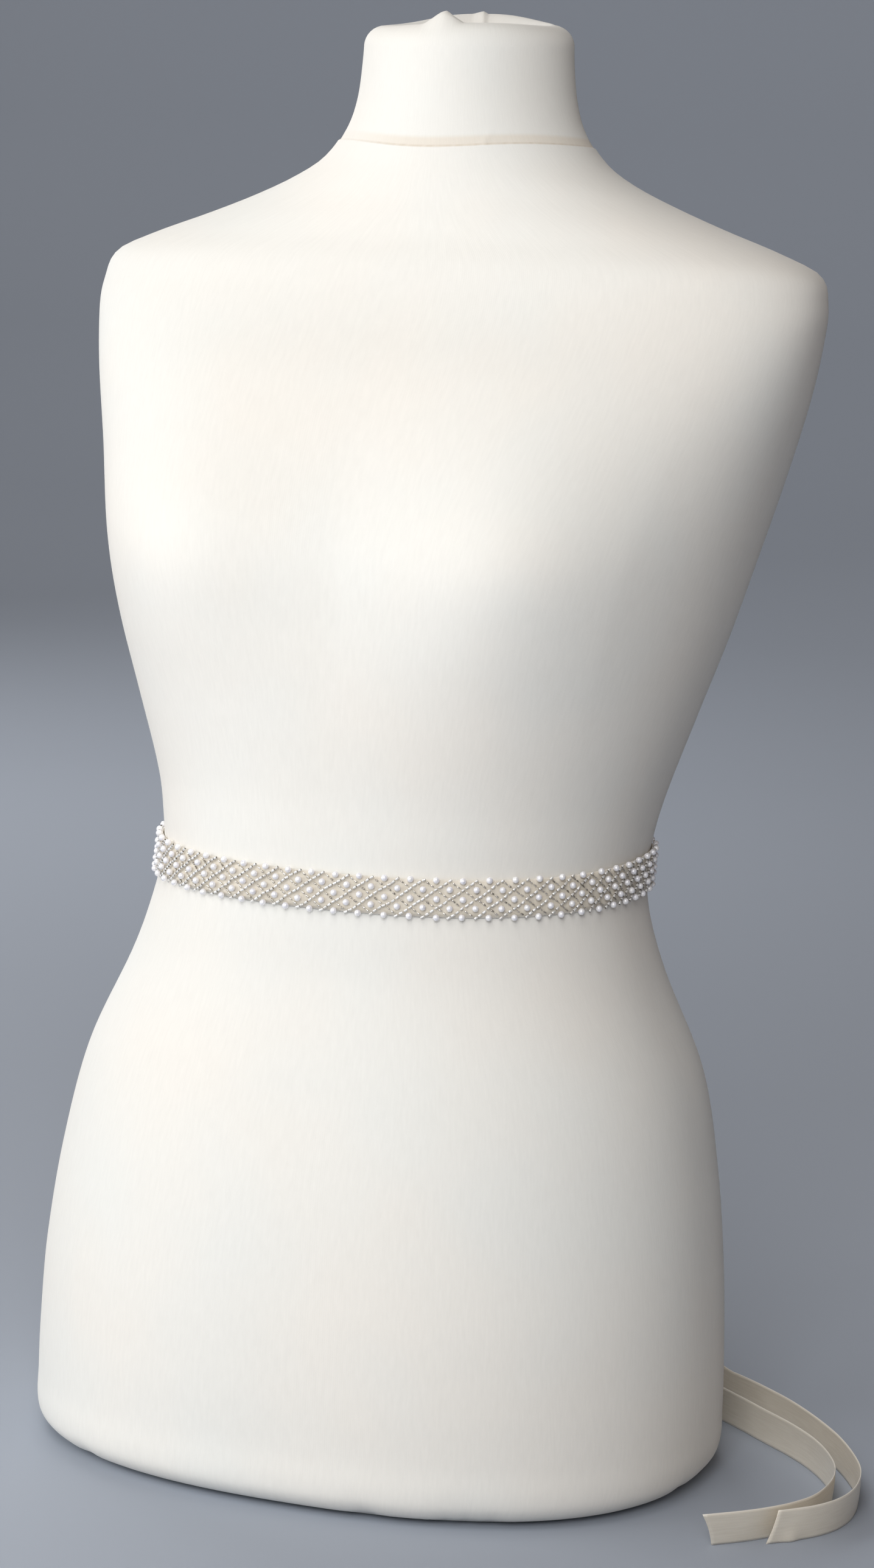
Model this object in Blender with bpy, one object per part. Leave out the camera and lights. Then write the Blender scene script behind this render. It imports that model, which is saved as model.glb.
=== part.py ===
"""Bridal sash on a dress form.

A satin ribbon goes once round the waist of a jersey covered dress form and is knotted at the
centre back. A woven strip of pearls and small beads is sewn on its front and sides. The two
tails of the ribbon fall down the back and lie on their edges on the table, round to the side.

Metres, +Z up. The form faces -Y, and the origin is the middle of its flat base.
"""

import math

import bmesh
import bpy
from mathutils import Matrix, Vector

CLEARANCE = 0.0003          # gap between pieces that touch

# Dress form
# height: above the table; half: half width; centre: middle of the widest line from front to back
# front, back: reach before and behind that line; square: 2 is an ellipse, more is boxier
SECTION_COLUMNS = ("height", "half", "centre", "front", "back", "square")
SECTIONS = (
    (0.000, 0.1580, 0.0070, 0.1195, 0.1060, 2.35),
    (0.004, 0.1690, 0.0070, 0.1310, 0.1170, 2.35),
    (0.012, 0.1757, 0.0075, 0.1375, 0.1225, 2.35),
    (0.030, 0.1767, 0.0080, 0.1375, 0.1215, 2.35),
    (0.060, 0.1758, 0.0070, 0.1365, 0.1270, 2.35),
    (0.100, 0.1732, 0.0055, 0.1325, 0.1355, 2.35),
    (0.150, 0.1672, 0.0055, 0.1255, 0.1415, 2.30),
    (0.200, 0.1565, 0.0080, 0.1165, 0.1335, 2.30),
    (0.250, 0.1345, 0.0085, 0.1045, 0.1165, 2.30),
    (0.280, 0.1248, 0.0105, 0.1035, 0.1065, 2.30),
    (0.302, 0.1218, 0.0165, 0.1085, 0.0985, 2.30),
    (0.320, 0.1236, 0.0205, 0.1125, 0.0960, 2.30),
    (0.340, 0.1280, 0.0250, 0.1170, 0.0950, 2.30),
    (0.380, 0.1408, 0.0295, 0.1245, 0.0995, 2.30),
    (0.420, 0.1534, 0.0360, 0.1320, 0.1010, 2.35),
    (0.460, 0.1642, 0.0435, 0.1365, 0.0985, 2.40),
    (0.500, 0.1748, 0.0505, 0.1275, 0.0945, 2.45),
    (0.540, 0.1853, 0.0525, 0.1065, 0.0915, 2.45),
    (0.570, 0.1910, 0.0530, 0.0840, 0.0870, 2.40),
    (0.585, 0.1915, 0.0560, 0.0770, 0.0810, 2.35),
    (0.600, 0.1862, 0.0590, 0.0720, 0.0740, 2.30),
    (0.610, 0.1650, 0.0590, 0.0660, 0.0710, 2.20),
    (0.620, 0.1375, 0.0595, 0.0625, 0.0675, 2.10),
    (0.630, 0.1122, 0.0600, 0.0590, 0.0640, 2.00),
    (0.640, 0.0900, 0.0600, 0.0565, 0.0610, 2.00),
    (0.650, 0.0742, 0.0610, 0.0550, 0.0585, 2.00),
    (0.665, 0.0622, 0.0605, 0.0540, 0.0560, 2.00),
    (0.680, 0.0567, 0.0600, 0.0530, 0.0545, 2.00),
    (0.700, 0.0541, 0.0590, 0.0520, 0.0540, 2.00),
    (0.718, 0.0535, 0.0590, 0.0515, 0.0535, 2.00),
)
FORM_RING_POINTS = 56
LONGEST_RING_GAP = 0.038
BUST_HEIGHT = 0.460         # the two soft mounds of the chest
BUST_SIDE = 0.097
BUST_RISE = 0.0192
BUST_WIDTH = 0.0575
BUST_ABOVE = 0.059
BUST_BELOW = 0.0675
NECK_TOP = 0.718
NECK_SLOPE = 0.12           # the top of the neck drops towards the front
NECK_SLOPE_FROM = 0.660     # height where that slope starts
NECK_EDGE_RADIUS = 0.010
NECK_EDGE_STEPS = 4
NECK_HOLLOW = 0.004         # depth of the shallow hollow in the neck's top

# Ribbon
RIBBON_WIDTH = 0.018
RIBBON_WALL = 0.001
BELT_HEIGHT = 0.302         # middle of the ribbon at the form's widest line
BELT_SLOPE = 0.0388         # the ribbon sits lower in front
BELT_CENTRE = 0.0165        # where along Y that height is measured

# Beaded strip, seen flat: pearls in five rows, and strings that cross midway between them
PEARL_PITCH = 0.0123        # along the belt
PEARL_ROW_STEP = 0.0044     # from one row to the next
PEARL_RADIUS = 0.0016
PEARL_SIDES = 6
PITCHES_EACH_SIDE = 24      # from the centre front to each end of the beading
OUTER_ROW = 2
WEB_WALL = 0.0008           # the layer of thread and bead ends that holds the pearls
WEB_EDGE = 0.0106           # half the width of that layer
STRING_RISE = 0.0011        # a string of small beads on the layer

# Knot at the centre back
KNOT_WIDTH = 0.020
KNOT_DEPTH = 0.011
KNOT_TALL = 0.022

# Tails. The drop lies on the form's back: side, height, lift off the form. It starts just below
# the knot, or at its first height where that is lower.
# The fall leaves it: side, depth, height. The run stands on the table: side, depth.
# slant: how far each corner of the cut end is off square; lean: degrees forward at that end
TAILS = {
    "tail_inner": {
        "drop": (
            (-0.0042, 0.3000, 0.0048),
            (-0.0010, 0.2640, 0.0048),
            (0.0050, 0.2350, 0.0032),
            (0.0130, 0.2050, 0.0018),
            (0.0220, 0.1750, 0.0016),
            (0.0320, 0.1450, 0.0022),
        ),
        "fall": (
            (0.0430, 0.1480, 0.1150),
            (0.0560, 0.1510, 0.0840),
            (0.0715, 0.1545, 0.0550),
            (0.0895, 0.1540, 0.0310),
            (0.1090, 0.1475, 0.0155),
        ),
        "run": (
            (0.1290, 0.1365), (0.1600, 0.1110), (0.1820, 0.0910), (0.2010, 0.0740),
            (0.2180, 0.0550), (0.2310, 0.0350), (0.2400, 0.0130), (0.2430, -0.0110), (0.2400, -0.0340),
            (0.2300, -0.0530), (0.2190, -0.0670), (0.2035, -0.0820),
        ),
        "slant": 0.0040,
        "lean": 16,
    },
    "tail_outer": {
        "drop": (
            (0.0042, 0.3000, 0.0072),
            (0.0090, 0.2640, 0.0084),
            (0.0170, 0.2350, 0.0078),
            (0.0270, 0.2050, 0.0062),
            (0.0380, 0.1750, 0.0062),
            (0.0490, 0.1450, 0.0085),
        ),
        "fall": (
            (0.0605, 0.1560, 0.1150),
            (0.0740, 0.1625, 0.0850),
            (0.0900, 0.1670, 0.0560),
            (0.1085, 0.1670, 0.0315),
            (0.1280, 0.1605, 0.0155),
        ),
        "run": (
            (0.1460, 0.1500), (0.1670, 0.1340), (0.1870, 0.1160), (0.2060, 0.0950),
            (0.2250, 0.0700), (0.2400, 0.0450), (0.2515, 0.0190), (0.2562, -0.0080), (0.2540, -0.0290),
            (0.2465, -0.0455), (0.2305, -0.0640),
        ),
        "slant": -0.0018,
        "lean": 13,
    },
}
TAIL_STEP = 0.010           # length of one stretch of a tail's wall
TAIL_TURN_FROM = 0.140      # height where a tail starts to turn onto its edge
TAIL_PINCH = 0.45           # share of its width that a tail has where it leaves the knot
TAIL_PINCH_LENGTH = 0.030
LEAN_FROM = 0.030           # depth where a tail starts to lean, and how soon it leans fully
LEAN_LENGTH = 0.080

MATERIALS = {
    "jersey": ((0.86, 0.83, 0.78, 1.0), 0.85, 0.0),
    "satin": ((0.80, 0.75, 0.66, 1.0), 0.42, 0.0),
    "beadwork": ((0.88, 0.86, 0.84, 1.0), 0.25, 0.1),
}


def remove_everything():
    for item in list(bpy.data.objects):
        bpy.data.objects.remove(item)


def material(name):
    colour, roughness, metallic = MATERIALS[name]
    made = bpy.data.materials.get(name)
    if made is None:
        made = bpy.data.materials.new(name)
        made.use_nodes = True
        shader = made.node_tree.nodes["Principled BSDF"]
        shader.inputs["Base Color"].default_value = colour
        shader.inputs["Roughness"].default_value = roughness
        shader.inputs["Metallic"].default_value = metallic
    return made


def finish(bm, name, finish_name, sharp_degrees=40):
    """Turn a bmesh into a named object with its faces pointing out."""
    bmesh.ops.recalc_face_normals(bm, faces=bm.faces)
    if bm.calc_volume(signed=True) < 0:
        bmesh.ops.reverse_faces(bm, faces=bm.faces)
    mesh = bpy.data.meshes.new(name)
    bm.to_mesh(mesh)
    bm.free()
    mesh.materials.append(material(finish_name))
    mesh.shade_smooth()
    mesh.set_sharp_from_angle(angle=math.radians(sharp_degrees))
    made = bpy.data.objects.new(name, mesh)
    bpy.context.scene.collection.objects.link(made)
    return made


def smooth_between(rows, key, at):
    """Read every column of a table at a value of its first column, on a smooth curve."""
    keys = [row[key] for row in rows]
    at = min(max(at, keys[0]), keys[-1])
    index = max(i for i in range(len(rows) - 1) if keys[i] <= at)
    before = max(index - 1, 0)
    after = min(index + 2, len(rows) - 1)
    span = keys[index + 1] - keys[index]
    t = (at - keys[index]) / span
    result = []
    for column in range(len(rows[0])):
        start, end = rows[index][column], rows[index + 1][column]
        slope_start = (end - rows[before][column]) / (keys[index + 1] - keys[before]) * span
        slope_end = (rows[after][column] - start) / (keys[after] - keys[index]) * span
        result.append(
            (2 * t**3 - 3 * t**2 + 1) * start + (t**3 - 2 * t**2 + t) * slope_start
            + (3 * t**2 - 2 * t**3) * end + (t**3 - t**2) * slope_end)
    return result


def rounded_power(value, square):
    return math.copysign(abs(value) ** (2 / square), value)


def bust_rise(x, height):
    spread = BUST_ABOVE if height > BUST_HEIGHT else BUST_BELOW
    across = math.exp(-((abs(x) - BUST_SIDE) / BUST_WIDTH) ** 2)
    return BUST_RISE * across * math.exp(-((height - BUST_HEIGHT) / spread) ** 2)


def form_point(angle, height):
    """A point of the form's skin. Angle 0 is its left side (+X), and -90 degrees its front."""
    row = dict(zip(SECTION_COLUMNS, smooth_between(SECTIONS, 0, height)))
    side, depth = math.cos(angle), math.sin(angle)
    x = row["half"] * rounded_power(side, row["square"])
    reach = row["back"] if depth > 0 else row["front"]
    y = reach * rounded_power(depth, row["square"])
    if depth < 0:
        y -= bust_rise(x, height) * min(1.0, -depth * 1.6)
    blend = min(max((height - NECK_SLOPE_FROM) / (NECK_TOP - NECK_SLOPE_FROM), 0.0), 1.0)
    return Vector((x, y + row["centre"], height + NECK_SLOPE * y * blend * blend))


def form_normal(angle, height):
    """The direction straight out of the form's skin."""
    small_angle, small_height = 0.01, 0.0005
    along = form_point(angle + small_angle, height) - form_point(angle - small_angle, height)
    up = form_point(angle, height + small_height) - form_point(angle, height - small_height)
    return along.cross(up).normalized()


def ring(bm, points):
    return [bm.verts.new(point) for point in points]


def join_rings(bm, lower, upper):
    count = len(lower)
    for i in range(count):
        j = (i + 1) % count
        bm.faces.new((lower[i], lower[j], upper[j], upper[i]))


def form_heights():
    """Heights of the rings: every row of the table, close ones behind the ribbon, and midway."""
    heights = []
    rows = {row[0] for row in SECTIONS if row[0] < NECK_TOP - NECK_EDGE_RADIUS}
    rows |= {BELT_HEIGHT + RIBBON_WIDTH * step for step in (-1.0, -0.5, 0.5, 1.0)}
    rows = sorted(rows)
    for low, high in zip(rows, rows[1:] + [NECK_TOP - NECK_EDGE_RADIUS]):
        heights.append(low)
        if high - low > LONGEST_RING_GAP:
            heights.append((low + high) / 2)
    return heights + [NECK_TOP - NECK_EDGE_RADIUS]


def build_dress_form():
    """The torso: rings of the section table, a rounded neck edge and a shallow hollow on top."""
    bm = bmesh.new()
    angles = [2 * math.pi * i / FORM_RING_POINTS for i in range(FORM_RING_POINTS)]
    rings = []
    for height in form_heights():
        rings.append(ring(bm, [form_point(angle, height) for angle in angles]))
    edge_height = NECK_TOP - NECK_EDGE_RADIUS
    rim = [form_point(angle, edge_height) for angle in angles]
    middle = sum(rim, Vector()) / len(rim)
    for step in range(1, NECK_EDGE_STEPS + 1):
        turn = math.pi / 2 * step / NECK_EDGE_STEPS
        inset = NECK_EDGE_RADIUS * (1 - math.cos(turn))
        rise = NECK_EDGE_RADIUS * math.sin(turn)
        points = []
        for point in rim:
            out = Vector((point.x - middle.x, point.y - middle.y, 0.0))
            points.append(point - out.normalized() * inset + Vector((0, 0, rise)))
        rings.append(ring(bm, points))
    top = [vert.co.copy() for vert in rings[-1]]
    top_middle = sum(top, Vector()) / len(top)
    for share, sink in ((0.72, 0.45), (0.36, 0.9)):
        points = [top_middle + (point - top_middle) * share - Vector((0, 0, NECK_HOLLOW * sink))
                  for point in top]
        rings.append(ring(bm, points))
    for lower, upper in zip(rings, rings[1:]):
        join_rings(bm, lower, upper)
    bm.faces.new(list(reversed(rings[0])))
    centre = bm.verts.new(top_middle - Vector((0, 0, NECK_HOLLOW)))
    for i in range(FORM_RING_POINTS):
        bm.faces.new((rings[-1][i], rings[-1][(i + 1) % FORM_RING_POINTS], centre))
    return finish(bm, "dress_form", "jersey", sharp_degrees=60)


class WaistLine:
    """The line of the ribbon round the waist, read by the distance from the centre front."""

    SAMPLES = 1440

    def __init__(self):
        self.angles = []
        self.places = []
        walked = 0.0
        last = None
        for i in range(self.SAMPLES + 1):
            angle = -math.pi / 2 + 2 * math.pi * i / self.SAMPLES
            point = self.skin(angle, 0.0)
            if last is not None:
                walked += (point - last).length
            self.angles.append(angle)
            self.places.append(walked)
            last = point
        self.length = walked

    def skin(self, angle, across):
        """The form's skin at a distance up the ribbon from its middle line."""
        y = BELT_CENTRE
        for _ in range(3):
            height = BELT_HEIGHT + BELT_SLOPE * (y - BELT_CENTRE) + across
            point = form_point(angle, height)
            y = point.y
        return point

    def angle_at(self, distance):
        distance %= self.length
        high = next(i for i, place in enumerate(self.places) if place >= distance)
        low = max(high - 1, 0)
        span = self.places[high] - self.places[low]
        share = (distance - self.places[low]) / span if span else 0.0
        return self.angles[low] + share * (self.angles[high] - self.angles[low])

    def frame(self, distance):
        """Lower point, upper point and outward direction of the ribbon's line."""
        angle = self.angle_at(distance)
        half = RIBBON_WIDTH / 2
        low, high = self.skin(angle, -half), self.skin(angle, half)
        ahead = self.skin(angle + 0.01, 0.0) - self.skin(angle - 0.01, 0.0)
        return low, high, ahead.cross(high - low).normalized()

    def point(self, distance, across, lift):
        """The place of (along, across, out) when the flat strip is bent round the waist."""
        low, high, out = self.frame(distance)
        share = across / RIBBON_WIDTH + 0.5
        return low.lerp(high, share) + out * lift


def band(name, waist, distances, inner, outer):
    """One stretch of the ribbon: a wall between two lifts off the form."""
    bm = bmesh.new()
    half = RIBBON_WIDTH / 2
    sections = []
    for distance in distances:
        corners = ((-half, inner), (-half, outer), (half, outer), (half, inner))
        sections.append(ring(bm, [waist.point(distance, v, h) for v, h in corners]))
    for first, second in zip(sections, sections[1:]):
        join_rings(bm, first, second)
    bm.faces.new(list(reversed(sections[0])))
    bm.faces.new(sections[-1])
    return finish(bm, name, "satin")


def even_steps(start, end, longest):
    count = max(1, math.ceil(abs(end - start) / longest))
    return [start + (end - start) * i / count for i in range(count + 1)]


def lattice_points(bm):
    """Where strings cross, and the border of the layer, on a grid of half pitches and rows."""
    ends = 2 * PITCHES_EACH_SIDE
    points = {}
    for column in range(-ends, ends + 1):
        u = column * PEARL_PITCH / 2
        for row in range(-OUTER_ROW, OUTER_ROW + 1):
            if (column + row) % 2 == 0:
                points[column, row] = bm.verts.new((u, row * PEARL_ROW_STEP, WEB_WALL + STRING_RISE))
        for side in (-1, 1):
            points[column, side * (OUTER_ROW + 1)] = bm.verts.new((u, side * WEB_EDGE, WEB_WALL))
    return points


def pearl_cell(column, row):
    """The corners of the diamond round a pearl, with the border instead of an outer corner."""
    if abs(row) < OUTER_ROW:
        return [(column - 1, row), (column, row - 1), (column + 1, row), (column, row + 1)]
    side = 1 if row > 0 else -1
    border = side * (OUTER_ROW + 1)
    return [(column - 1, row), (column, row - side), (column + 1, row),
            (column + 1, border), (column, border), (column - 1, border)]


def raise_pearl(bm, corners, u, v):
    """Join the diamond's corners to a bead that stands up in its middle."""
    rim = []
    for first, second in zip(corners, corners[1:] + corners[:1]):
        rim.append(bm.edges.get((first, second)) or bm.edges.new((first, second)))
    foot = bmesh.ops.create_circle(
        bm, cap_ends=False, segments=PEARL_SIDES, radius=PEARL_RADIUS * 0.97,
        matrix=Matrix.Translation((u, v, WEB_WALL)))["verts"]
    foot_edges = [bm.edges.get((foot[i], foot[(i + 1) % PEARL_SIDES])) for i in range(PEARL_SIDES)]
    bmesh.ops.bridge_loops(bm, edges=rim + foot_edges)
    centre = Vector((u, v, 0.0))
    shoulder = []
    for vert in foot:
        out = (vert.co - Vector((u, v, WEB_WALL))) * 0.85
        shoulder.append(bm.verts.new(centre + out + Vector((0, 0, 1.45 * PEARL_RADIUS))))
    join_rings(bm, foot, shoulder)
    tip = bm.verts.new(centre + Vector((0, 0, 2 * PEARL_RADIUS)))
    for i in range(PEARL_SIDES):
        bm.faces.new((shoulder[i], shoulder[(i + 1) % PEARL_SIDES], tip))


def build_beaded_strip(waist, lift):
    """The woven strip, made flat with its pearls and strings raised, then bent round the waist."""
    bm = bmesh.new()
    ends = 2 * PITCHES_EACH_SIDE
    border = OUTER_ROW + 1
    points = lattice_points(bm)
    for row in range(-OUTER_ROW, OUTER_ROW + 1):
        for column in range(-ends + 1, ends):
            if (column + row) % 2:
                corners = [points[place] for place in pearl_cell(column, row)]
                raise_pearl(bm, corners, column * PEARL_PITCH / 2, row * PEARL_ROW_STEP)
    for side in (-1, 1):
        for row in (-1, 1):
            inner = points[side * (ends - 1), row]
            bm.faces.new((inner, points[side * ends, 0], points[side * ends, 2 * row]))
    inside = {}
    for (column, row), vert in points.items():
        if abs(row) == border or abs(column) == ends:
            inside[column, row] = bm.verts.new((vert.co.x, vert.co.y, 0.0))
    for side in (-border, border):
        for column in range(-ends, ends):
            bm.faces.new((points[column, side], points[column + 1, side],
                          inside[column + 1, side], inside[column, side]))
    for column in (-ends, ends):
        rows = [-border, -OUTER_ROW, 0, OUTER_ROW, border]
        for low, high in zip(rows, rows[1:]):
            bm.faces.new((points[column, low], points[column, high],
                          inside[column, high], inside[column, low]))
    for column in range(-ends, ends):
        corners = [inside[column, -border], inside[column + 1, -border],
                   inside[column + 1, border], inside[column, border]]
        if column == -ends:
            corners += [inside[column, row] for row in (OUTER_ROW, 0, -OUTER_ROW)]
        if column + 1 == ends:
            corners[2:2] = [inside[ends, row] for row in (-OUTER_ROW, 0, OUTER_ROW)]
        bm.faces.new(corners)
    for vert in bm.verts:
        vert.co = waist.point(vert.co.x, vert.co.y, vert.co.z + lift)
    return finish(bm, "beaded_strip", "beadwork", sharp_degrees=50)


def build_knot(waist, lift):
    """A soft block: the ribbon wrapped once over itself."""
    middle = waist.point(waist.length / 2, 0.0, lift + KNOT_DEPTH / 2)
    bm = bmesh.new()
    bmesh.ops.create_cube(bm, size=1.0)
    bmesh.ops.scale(bm, vec=(KNOT_WIDTH, KNOT_DEPTH, KNOT_TALL), verts=bm.verts)
    for vert in bm.verts:
        if vert.co.z < 0:
            vert.co.x *= 0.8
    bmesh.ops.bevel(bm, geom=bm.edges[:], offset=0.0038, segments=3, profile=0.5,
                    affect="EDGES", material=-1)
    bmesh.ops.translate(bm, vec=middle, verts=bm.verts)
    return finish(bm, "ribbon_knot", "satin", sharp_degrees=60)


def back_of_form(side, height, lift):
    """A point at a sideways place and height on the form's back, lifted straight off it."""
    low, high = 0.0, math.pi / 2
    for _ in range(40):
        angle = (low + high) / 2 if side >= 0 else math.pi - (low + high) / 2
        if abs(form_point(angle, height).x) > abs(side):
            low = (low + high) / 2
        else:
            high = (low + high) / 2
    point = form_point(angle, height)
    out = form_normal(angle, height)
    out.z = 0.0
    return point + out.normalized() * lift


def tail_route(tail, top):
    """The middle line of one tail, as a smooth curve read at even steps."""
    rough = [back_of_form(side, min(height, top), lift) for side, height, lift in tail["drop"]]
    rough += [Vector(row) for row in tail["fall"]]
    rough += [Vector((x, y, RIBBON_WIDTH / 2)) for x, y in tail["run"]]
    walked = [0.0]
    for first, second in zip(rough, rough[1:]):
        walked.append(walked[-1] + (second - first).length)
    rows = [(place, *point) for place, point in zip(walked, rough)]
    route = [Vector(smooth_between(rows, 0, place)[1:])
             for place in even_steps(0.0, walked[-1], TAIL_STEP)]
    for point in route:
        point.z = max(point.z, RIBBON_WIDTH / 2)
    return route


def tail_sections(tail, top):
    """Middle, across and out directions and half width at each step of a tail."""
    route = tail_route(tail, top)
    walked = 0.0
    for i, point in enumerate(route):
        ahead = route[min(i + 1, len(route) - 1)] - route[max(i - 1, 0)]
        ahead.normalize()
        if i:
            walked += (point - route[i - 1]).length
        turned = 1 - min(max(point.z / TAIL_TURN_FROM, 0.0), 1.0)
        turned = min(1.0, turned * 1.15)
        turned = turned * turned * (3 - 2 * turned)
        hint = Vector((math.cos(turned * math.pi / 2), 0.0, math.sin(turned * math.pi / 2)))
        across = (hint - ahead * hint.dot(ahead)).normalized() if i else hint
        lean = math.radians(tail["lean"]) * min(max((LEAN_FROM - point.y) / LEAN_LENGTH, 0.0), 1.0)
        across = across * math.cos(lean) - ahead.cross(across) * math.sin(lean)
        sink = RIBBON_WIDTH / 2 * (1 - math.cos(lean)) - RIBBON_WALL / 2 * math.sin(lean)
        pinch = TAIL_PINCH + (1 - TAIL_PINCH) * min(walked / TAIL_PINCH_LENGTH, 1.0)
        last = i == len(route) - 1
        slant = ahead * tail["slant"] if last else Vector()
        middle = point - Vector((0.0, 0.0, sink))
        yield middle, across, ahead.cross(across), RIBBON_WIDTH / 2 * pinch, slant


def build_tail(name, tail, top):
    """A ribbon wall along the route, cut level under the knot and on a slant at its end."""
    bm = bmesh.new()
    sections = []
    for middle, across, out, half, slant in tail_sections(tail, top):
        corners = []
        for v, h in ((-1, -1), (-1, 1), (1, 1), (1, -1)):
            corners.append(middle + across * half * v + out * (RIBBON_WALL / 2) * h + slant * v)
        sections.append(ring(bm, corners))
    for first, second in zip(sections, sections[1:]):
        join_rings(bm, first, second)
    bm.faces.new(list(reversed(sections[0])))
    bm.faces.new(sections[-1])
    return finish(bm, name, "satin")


def main():
    remove_everything()
    build_dress_form()
    waist = WaistLine()
    ribbon_inner = CLEARANCE
    ribbon_outer = ribbon_inner + RIBBON_WALL
    beaded_half = PITCHES_EACH_SIDE * PEARL_PITCH
    half_pitch = PEARL_PITCH / 2
    knot_side = waist.length / 2 - KNOT_WIDTH / 2 - CLEARANCE
    band("ribbon_front", waist, even_steps(-beaded_half, beaded_half, half_pitch),
         ribbon_inner, ribbon_outer)
    for name, side in (("ribbon_back_left", 1), ("ribbon_back_right", -1)):
        start = beaded_half + CLEARANCE
        distances = [side * place for place in even_steps(start, knot_side, half_pitch)]
        band(name, waist, distances if side > 0 else distances[::-1], ribbon_inner, ribbon_outer)
    build_beaded_strip(waist, ribbon_outer + CLEARANCE)
    knot = build_knot(waist, 2 * CLEARANCE)
    knot_bottom = min(corner[2] for corner in knot.bound_box)
    for name, tail in TAILS.items():
        build_tail("ribbon_" + name, tail, knot_bottom - CLEARANCE)


main()
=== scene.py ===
"""Looks of a bridal sash on a dress form: jersey, satin ribbon, pearls and silver lined beads.

Metres, +Z up. The form faces -Y, and the origin is the middle of its flat base.
"""

import math
import random

import bmesh
import bpy
from mathutils import Matrix, Vector


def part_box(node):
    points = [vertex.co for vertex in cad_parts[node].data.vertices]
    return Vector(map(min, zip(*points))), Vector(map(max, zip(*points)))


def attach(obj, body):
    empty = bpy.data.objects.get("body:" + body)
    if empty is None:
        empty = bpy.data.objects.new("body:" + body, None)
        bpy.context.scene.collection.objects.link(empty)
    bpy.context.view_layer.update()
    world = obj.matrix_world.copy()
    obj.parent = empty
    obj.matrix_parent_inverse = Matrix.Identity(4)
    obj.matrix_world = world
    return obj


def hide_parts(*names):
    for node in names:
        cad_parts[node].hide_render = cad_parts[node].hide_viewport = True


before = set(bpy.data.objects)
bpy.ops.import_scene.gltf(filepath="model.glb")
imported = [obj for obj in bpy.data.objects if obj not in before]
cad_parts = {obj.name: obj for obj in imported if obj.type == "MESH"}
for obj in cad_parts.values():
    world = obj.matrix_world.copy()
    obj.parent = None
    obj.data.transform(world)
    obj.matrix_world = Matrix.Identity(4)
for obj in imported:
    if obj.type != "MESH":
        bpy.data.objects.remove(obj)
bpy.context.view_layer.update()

# Dress form
# height: above the table; half: half width; centre: middle of the widest line from front to back
# front, back: reach before and behind that line; square: 2 is an ellipse, more is boxier
SECTION_COLUMNS = ("height", "half", "centre", "front", "back", "square")
SECTIONS = (
    (0.000, 0.1580, 0.0070, 0.1195, 0.1060, 2.35),
    (0.004, 0.1690, 0.0070, 0.1310, 0.1170, 2.35),
    (0.012, 0.1757, 0.0075, 0.1375, 0.1225, 2.35),
    (0.030, 0.1767, 0.0080, 0.1375, 0.1215, 2.35),
    (0.060, 0.1758, 0.0070, 0.1365, 0.1270, 2.35),
    (0.100, 0.1732, 0.0055, 0.1325, 0.1355, 2.35),
    (0.150, 0.1672, 0.0055, 0.1255, 0.1415, 2.30),
    (0.200, 0.1565, 0.0080, 0.1165, 0.1335, 2.30),
    (0.250, 0.1345, 0.0085, 0.1045, 0.1165, 2.30),
    (0.280, 0.1248, 0.0105, 0.1035, 0.1065, 2.30),
    (0.302, 0.1218, 0.0165, 0.1085, 0.0985, 2.30),
    (0.320, 0.1236, 0.0205, 0.1125, 0.0960, 2.30),
    (0.340, 0.1280, 0.0250, 0.1170, 0.0950, 2.30),
    (0.380, 0.1408, 0.0295, 0.1245, 0.0995, 2.30),
    (0.420, 0.1534, 0.0360, 0.1320, 0.1010, 2.35),
    (0.460, 0.1642, 0.0435, 0.1365, 0.0985, 2.40),
    (0.500, 0.1748, 0.0505, 0.1275, 0.0945, 2.45),
    (0.540, 0.1853, 0.0525, 0.1065, 0.0915, 2.45),
    (0.570, 0.1910, 0.0530, 0.0840, 0.0870, 2.40),
    (0.585, 0.1915, 0.0560, 0.0770, 0.0810, 2.35),
    (0.600, 0.1862, 0.0590, 0.0720, 0.0740, 2.30),
    (0.610, 0.1650, 0.0590, 0.0660, 0.0710, 2.20),
    (0.620, 0.1375, 0.0595, 0.0625, 0.0675, 2.10),
    (0.630, 0.1122, 0.0600, 0.0590, 0.0640, 2.00),
    (0.640, 0.0900, 0.0600, 0.0565, 0.0610, 2.00),
    (0.650, 0.0742, 0.0610, 0.0550, 0.0585, 2.00),
    (0.665, 0.0622, 0.0605, 0.0540, 0.0560, 2.00),
    (0.680, 0.0567, 0.0600, 0.0530, 0.0545, 2.00),
    (0.700, 0.0541, 0.0590, 0.0520, 0.0540, 2.00),
    (0.718, 0.0535, 0.0590, 0.0515, 0.0535, 2.00),
)
BUST_HEIGHT = 0.460         # the two soft mounds of the chest
BUST_SIDE = 0.097
BUST_RISE = 0.0192
BUST_WIDTH = 0.0575
BUST_ABOVE = 0.059
BUST_BELOW = 0.0675
NECK_TOP = 0.718
NECK_SLOPE = 0.12           # the top of the neck drops towards the front
NECK_SLOPE_FROM = 0.660     # height where that slope starts
NECK_EDGE_RADIUS = 0.010
NECK_HOLLOW = 0.004

COVER_POINTS = 224          # points round the jersey
COVER_STEP = 0.0033         # height of one row of its faces
WALE_COUNT = 1200           # knitted wales round the jersey: 0.8 mm each at the hips

# Hem of the body's jersey, which laps over the neck's jersey
HEM_HEIGHT = 0.6592
HEM_DIP = 0.0040            # it hangs lower at the front
HEM_DIP_ANGLE = -93
HEM_DIP_WIDTH = 35
HEM_THICKNESS = 0.0007
HEM_BAND = 0.0054           # the doubled edge that shows through above the hem, as a warm band, faded by painted light towards the window side
HEM_FINE = 0.0005           # height of one row of faces near the hem

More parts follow.
